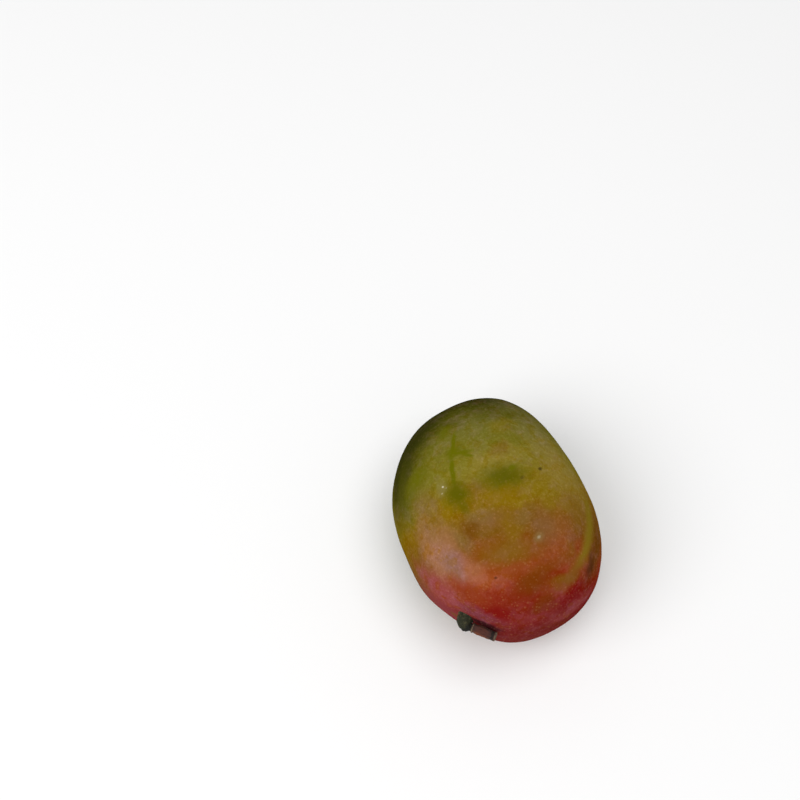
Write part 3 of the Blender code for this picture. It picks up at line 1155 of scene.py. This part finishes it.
    def stub_rings(self, last: Ring) -> list[Ring]:
        """The rings of the stub, from the groove to the pith hole in its broken end.

        Args:
            last: the last ring of the knuckle.

        Returns:
            The rings.
        """
        heading = self.heading()
        side_up = heading.cross(last.across).normalized()
        if side_up.y < 0:
            side_up = -side_up
        count = round(self.stub_length / self.step)
        rings = []
        for place in range(1, count + 1):
            distance = self.stub_length * place / count
            centre, radius = last.centre + heading * distance, self.stub_radius_at(distance)
            rings.append(Ring(centre, last.across, side_up, radius, last.along + distance))
        end = rings[-1]
        for share in self.end_shares:
            radius, along = end.radius * share, end.along + self.end_length
            rings.append(Ring(end.centre, end.across, end.up, radius, along))
        for share, sink in self.pith_shares:
            centre = end.centre - heading * (self.pith_depth * sink)
            radius, along = self.pith_radius * share, end.along + self.pith_length
            rings.append(Ring(centre, end.across, end.up, radius, along))
        return rings

    def rings(self) -> tuple[list[Ring], list[Ring], list[Ring]]:
        """The rings of the collar, of the knuckle and of the stub."""
        collar = self.collar_rings()
        knuckle = self.knuckle_rings(collar[-1].along + self.step)
        return collar, knuckle, self.stub_rings(knuckle[-1])

    def relief(self, ring: Ring, angle: float, is_stub: bool) -> float:
        """How far the bark stands out from its ring.

        Args:
            ring: the ring.
            angle: the angle round it, in radians.
            is_stub: whether it is on the stub, which is furrowed, and not on the knuckle.

        Returns:
            The height, in metres.
        """
        spot = ring.centre + (ring.across * math.cos(angle) + ring.up * math.sin(angle)) * ring.radius
        grit = noise.noise(spot / self.grit_size) * self.grit_height
        warts = noise.noise(spot / self.wart_size) * self.wart_height
        if not is_stub:
            return grit + warts
        around = Vector((math.cos(angle), math.sin(angle), 0)) * self.furrow_count
        around.z = ring.along / self.furrow_length
        return grit + warts * self.stub_warts + noise.noise(around) * self.furrow_depth

    def collar_shape(self, ring: Ring, angle: float) -> float:
        """How far the collar's lobes and its tip stand out from a ring, in metres."""
        height = self.foot_depth + self.collar_height
        fade = max(0.0, 1 - ring.along / (height * self.collar_fade))
        off_tip = math.degrees(abs(math.remainder(angle - math.pi, 2 * math.pi)))
        tip = self.tip_reach * math.exp(-((off_tip / self.tip_spread) ** 2))
        lobes = math.cos(self.collar_lobes * angle + self.lobe_turn) * self.lobe_share * ring.radius
        return (tip + lobes) * fade

    def points(self, ring: Ring, is_stub: bool, at_end: bool) -> list[Vector]:
        """The points of the bark round a ring.

        Args:
            ring: the ring.
            is_stub: whether it is on the stub.
            at_end: whether it is on the stub's broken end, whose relief is lower.

        Returns:
            The points, in the frame of the stem's seat.
        """
        points = []
        for side in range(self.sides):
            angle = 2 * math.pi * side / self.sides
            share = self.end_relief if at_end else 1.0
            radius = ring.radius + self.relief(ring, angle, is_stub) * share
            if not is_stub:
                radius += self.collar_shape(ring, angle)
            around = ring.across * math.cos(angle) + ring.up * math.sin(angle)
            points.append(ring.centre + around * radius)
        return points

    def join(
        self, mesh: bmesh.types.BMesh, rounds: tuple[list, list], heights: tuple[float, float]
    ) -> None:
        """Joins two rounds of points with faces and lays the bark's UV map on them.

        Args:
            mesh: the mesh that they are in.
            rounds: the points of the lower round and of the upper one.
            heights: where they are along the stem, from 0 to 1.
        """
        layer = mesh.loops.layers.uv[BARK_MAP]
        (lower, upper), (start, end) = rounds, heights
        for side in range(self.sides):
            after = (side + 1) % self.sides
            face = mesh.faces.new((lower[side], lower[after], upper[after], upper[side]))
            corners = ((side, start), (side + 1, start), (side + 1, end), (side, end))
            for loop, (turn, along) in zip(face.loops, corners):
                loop[layer].uv = (turn / self.sides, along)

    def build(self, fruit: Fruit, bark: bpy.types.Material) -> bpy.types.Object:
        """Makes the stem on its seat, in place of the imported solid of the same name.

        Args:
            fruit: the fruit that it grows from.
            bark: the material that it wears.

        Returns:
            The stem.
        """
        collar, knuckle, stub = self.rings()
        mesh = bmesh.new()
        layer = mesh.loops.layers.uv.new(BARK_MAP)
        length = stub[-1].along
        before, start = [], 0.0
        for ring in collar + knuckle + stub:
            at_end = ring.along > length - self.torn_length
            points = [mesh.verts.new(point) for point in self.points(ring, ring in stub, at_end)]
            end = ring.along / length
            if before:
                self.join(mesh, (before, points), (start, end))
            else:
                mesh.faces.new(points)
            before, start = points, end
        for loop in mesh.faces.new(before).loops:
            loop[layer].uv = (0.5, 1.0)
        bmesh.ops.recalc_face_normals(mesh, faces=mesh.faces)
        mesh.transform(fruit.seat_frame())
        stem = add_mesh("mango_stem", mesh, bark)
        stem.data.shade_smooth()
        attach(stem, "root")
        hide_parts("stem")
        return stem


@dataclass(frozen=True)
class Fade:
    """A soft change from none to full, by how far along or away a place is."""

    start: float  # millimetres where it begins, and where it is full
    full: float
    strength: float = 1.0

    def cover(self, distance: Wire, origin: float = 0.0) -> Wire:
        """How much there is at a distance, measured from an origin."""
        return distance.ease(origin + self.start, origin + self.full) * self.strength

    def band(self, distance: Wire, middle: float) -> Wire:
        """How much there is of a band that lies to both sides of its middle."""
        return self.cover(abs(distance - middle))


@dataclass(frozen=True)
class StemBark:
    """Rough bark: olive-green on the knuckle, a pale rim, and brown with flecks on the stub, with painted
    shade in the groove and up the stub's side.
    """

    knuckle_colour: Colour = (0.020, 0.021, 0.008)
    lichen_colour: Colour = (0.060, 0.054, 0.022)
    # Near-black: real speckles and cracks, and the painted shade in the groove.
    speckle_and_shade_colour: Colour = (0.005, 0.005, 0.003)
    tip_colour: Colour = (0.130, 0.085, 0.026)
    rim_colour: Colour = (0.215, 0.165, 0.095)
    stub_colour: Colour = (0.085, 0.040, 0.022)
    fleck_colour: Colour = (0.210, 0.055, 0.020)
    moss_colour: Colour = (0.075, 0.060, 0.034)
    painted_stub_shade_colour: Colour = (0.030, 0.010, 0.012)
    pith_colour: Colour = (0.012, 0.009, 0.006)
    roughness: float = 0.78
    roughness_range: float = 0.2
    specular: float = 0.25
    bump_depth: float = 0.09 * MM
    grain_stretch: float = 0.75  # how much longer the wood's grain is along the stub, below 1
    ridges: Grain = Grain(0.6, 4, 0.65)  # in millimetres, as all that follows
    speckle: Blotches = Blotches(Grain(0.7), 0.55, 0.68, 0.85)
    lichen: Blotches = Blotches(Grain(1.6, 3, 0.6), 0.50, 0.66, 0.8, 30)
    moss: Blotches = Blotches(Grain(2.4, 3), 0.50, 0.64, 0.6)
    flecks: Blotches = Blotches(Grain(1.5), 0.60, 0.52, 0.8)
    cracks: Blotches = Blotches(Grain(0.5, 3, 0.7), 0.47, 0.36, 0.7)
    rim_wear: Blotches = Blotches(Grain(1.0), 0.35, 0.6)
    tip: Fade = Fade(2.4, 0.8, 0.8)  # round the tip of the knuckle
    tip_place: Place = (-4.2, 0.4, 0.6)  # in the frame of the stem's seat
    # Painted shade, darker up the stub's side, where the skin above it shades it.
    painted_stub_shade: Fade = Fade(0.6, 2.0, 0.7)  # up the stub's side
    wood: Fade = Fade(-0.4, 0.3)  # from the groove
    fleck_band: Fade = Fade(4.5, 1.5)  # to both sides of its place past the groove
    fleck_place: float = 5.5
    rim: Fade = Fade(0.36, 0.10, 0.75)
    # Painted shade in the groove between the knuckle and the stub.
    painted_groove_shade: Fade = Fade(1.7, 0.5, 0.9)
    painted_groove_shade_place: float = -0.7
    # A dark band a little before the stem's end.
    dark_end_band: Fade = Fade(0.9, 0.3, 0.8)
    dark_end_band_place: float = -2.0  # from the stem's end, as the two that follow
    torn: Fade = Fade(-1.3, -0.6, 0.5)
    pith: Fade = Fade(-0.3, -0.1)
    ragged: Grain = Grain(1.3, 3)  # what frays the painted groove shade, the dark end band and the torn end
    ragged_reach: float = 0.9
    ragged_offset: float = 60.0

    def material(self, stem: Stem, fruit: Fruit) -> bpy.types.Material:
        """Makes the material for a stem.

        Args:
            stem: the stem that wears it.
            fruit: the fruit that the stem stands on.

        Returns:
            The material.
        """
        tree = MaterialTree("stem_bark")
        seat = fruit.seat_frame()
        turned = seat.to_3x3()
        place = (tree.place() - tuple(seat.translation)) / MM
        grain = place - tree.along(place, tuple(turned @ stem.heading())) * self.grain_stretch
        _, knuckle, stub = stem.rings()
        groove, length = knuckle[-1].along / MM, stub[-1].along / MM
        along = tree.wire("ShaderNodeUVMap", "UV", {"uv_map": BARK_MAP}).part("Y") * length
        fraying = tree.noise(place + self.ragged_offset, self.ragged) - 0.5
        ragged = along + fraying * (2 * self.ragged_reach)

        colour = tree.mix(self.lichen.cover(tree, place), self.knuckle_colour, self.lichen_colour)
        colour = tree.mix(self.speckle.cover(tree, place), colour, self.speckle_and_shade_colour)
        from_tip = (place - tuple(turned @ Vector(self.tip_place))).length()
        colour = tree.mix(self.tip.cover(from_tip), colour, self.tip_colour)

        wood = tree.mix(self.moss.cover(tree, grain), self.stub_colour, self.moss_colour)
        flecks = self.flecks.cover(tree, grain) * self.fleck_band.band(along, groove + self.fleck_place)
        wood = tree.mix(flecks, wood, self.fleck_colour)
        wood = tree.mix(self.cracks.cover(tree, grain), wood, self.speckle_and_shade_colour)
        # Painted shade, darker up the stub's side, where the skin above it shades it.
        upward = place.dot(tuple(seat.col[1].to_3d()))
        wood = tree.mix(self.painted_stub_shade.cover(upward), wood, self.painted_stub_shade_colour)

        colour = tree.mix(self.wood.cover(along, groove), colour, wood)
        rim = self.rim.band(along, groove + stem.rim_place / MM) * self.rim_wear.cover(tree, place)
        colour = tree.mix(rim, colour, self.rim_colour)
        # Painted shade in the groove between the knuckle and the stub.
        colour = tree.mix(self.painted_groove_shade.band(ragged, groove + self.painted_groove_shade_place), colour, self.speckle_and_shade_colour)
        # A dark band a little before the stem's end.
        colour = tree.mix(self.dark_end_band.band(ragged, length + self.dark_end_band_place), colour, self.speckle_and_shade_colour)
        colour = tree.mix(self.torn.cover(ragged, length), colour, self.rim_colour)
        colour = tree.mix(self.pith.cover(along, length), colour, self.pith_colour)
        height = tree.noise(grain, self.ridges)
        smoothest = self.roughness - self.roughness_range / 2
        tree.set(Base_Color=colour, Roughness=height * self.roughness_range + smoothest)
        tree.set(Normal=tree.bump(height, self.bump_depth), Specular_IOR_Level=self.specular)
        return tree.material


@dataclass(frozen=True)
class PlainFinish:
    """A plain matt finish of one colour."""

    name: str
    colour: Colour
    roughness: float

    def material(self) -> bpy.types.Material:
        """Makes the material."""
        tree = MaterialTree(self.name)
        tree.set(Base_Color=self.colour, Roughness=self.roughness)
        return tree.material


@dataclass(frozen=True)
class Lamp:
    """A round softbox that faces the mango."""

    name: str
    bearing: float  # degrees from +X, towards +Y
    elevation: float  # degrees above the mango
    distance: float
    width: float
    power: float

    def build(self, target: Vector) -> bpy.types.Object:
        """Hangs the lamp so that it faces a target."""
        light = bpy.data.lights.new(self.name, "AREA")
        light.shape = "DISK"
        light.size = self.width
        light.energy = self.power
        towards = Vector(direction(self.bearing, self.elevation))
        lamp = add_object(self.name, light)
        lamp.location = target + towards * self.distance
        lamp.rotation_euler = towards.to_track_quat("Z", "Y").to_euler()
        return lamp


@dataclass(frozen=True)
class Studio:
    """A plain pale floor, soft light from above, and the camera at the photograph's angle."""

    floor_radius: float = 3.2
    floor_sides: int = 96
    floor_colour: Colour = (0.92, 0.92, 0.92)
    floor_roughness: float = 0.9
    sky_colour: Colour = (1.0, 1.0, 1.0)
    sky_strength: float = 0.35
    lamps: tuple[Lamp, ...] = (
        Lamp("side_softbox", 188.0, 50.0, 2.4, 1.8, 28.0),
        Lamp("top_softbox", 320.0, 82.0, 2.4, 2.0, 28.0),
    )
    camera_azimuth: float = -22.06
    camera_elevation: float = 63.0
    camera_distance: float = 0.525
    look_offset: Place = (-0.0184, 0.0779, 0.0)  # from the fruit to where the camera looks
    lens: float = 46.395
    sensor: float = 36.0

    def build_floor(self) -> bpy.types.Object:
        """Lays the floor, a round disc at the height that the mango lies on."""
        mesh = bmesh.new()
        bmesh.ops.create_circle(
            mesh, cap_ends=True, segments=self.floor_sides, radius=self.floor_radius
        )
        finish = PlainFinish("pale_floor", self.floor_colour, self.floor_roughness)
        floor = add_mesh("floor", mesh, finish.material())
        return floor

    def build_light(self, target: Vector) -> None:
        """Hangs the lamps over the mango and gives the room its pale light."""
        for lamp in self.lamps:
            lamp.build(target)
        room = bpy.data.worlds.new("room")
        room.use_nodes = True
        sky = room.node_tree.nodes["Background"]
        sky.inputs["Color"].default_value = (*self.sky_colour, 1.0)
        sky.inputs["Strength"].default_value = self.sky_strength
        bpy.context.scene.world = room
        bpy.context.scene.view_settings.view_transform = "Standard"

    def build_camera(self, fruit_centre: Vector) -> bpy.types.Object:
        """Sets up the camera, which looks down on the mango from its stem's side.

        Args:
            fruit_centre: the middle of the fruit.

        Returns:
            The camera.
        """
        turn, lift = math.radians(self.camera_azimuth), math.radians(self.camera_elevation)
        flat = math.cos(lift)
        back = Vector((math.sin(turn) * flat, -math.cos(turn) * flat, math.sin(lift)))
        lens = bpy.data.cameras.new("camera")
        lens.lens = self.lens
        lens.sensor_width = self.sensor
        camera = add_object("camera", lens)
        camera.location = fruit_centre + Vector(self.look_offset) + back * self.camera_distance
        camera.rotation_euler = back.to_track_quat("Z", "Y").to_euler()
        bpy.context.scene.camera = camera
        return camera


def main() -> None:
    """Builds the mango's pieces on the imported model, and the studio round them."""
    logging.basicConfig(level=logging.INFO, format="%(name)s: %(message)s")
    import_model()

    fruit = Fruit()
    body = fruit.build(MangoSkin().material(fruit))
    LOG.info("fruit: %d faces", len(body.data.polygons))

    stem = Stem()
    stub = stem.build(fruit, StemBark().material(stem, fruit))
    LOG.info("stem: %d faces", len(stub.data.polygons))

    studio = Studio()
    studio.build_floor()
    studio.build_light(fruit.centre())
    studio.build_camera(fruit.centre())
    LOG.info("studio: floor, light and camera")


if __name__ == "__main__":
    main()
